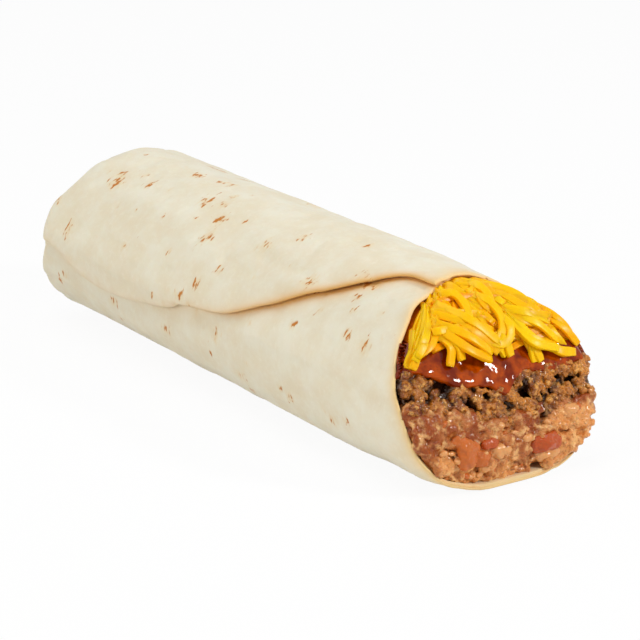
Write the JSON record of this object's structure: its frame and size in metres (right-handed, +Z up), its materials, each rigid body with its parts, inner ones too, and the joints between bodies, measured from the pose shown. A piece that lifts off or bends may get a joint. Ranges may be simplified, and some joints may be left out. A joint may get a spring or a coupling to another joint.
{
  "type": "burrito",
  "caption": "Rolled flour tortilla, folded shut at one end and open at the other, filled with beans, minced beef, sauce and shredded cheese.",
  "frame": {"origin": "middle of the bounding box, on the surface it rests on", "axes": "+X along the roll towards the open end, +Z up, and the lapped edge of the tortilla faces -Y"},
  "size_m": [0.1818, 0.061, 0.0471],
  "materials": {
    "tortilla": "soft floury tortilla, pale cream with toasted spots",
    "beans": "moist mashed brown beans",
    "beef": "moist browned minced beef",
    "sauce": "thick glossy red sauce",
    "cheese": "shredded orange cheese, slightly waxy"
  },
  "bodies": {
    "root": {"tortilla": "tortilla", "beans": "beans", "beef": "beef", "sauce": "sauce", "cheese": "cheese"}
  },
  "joints": []
}
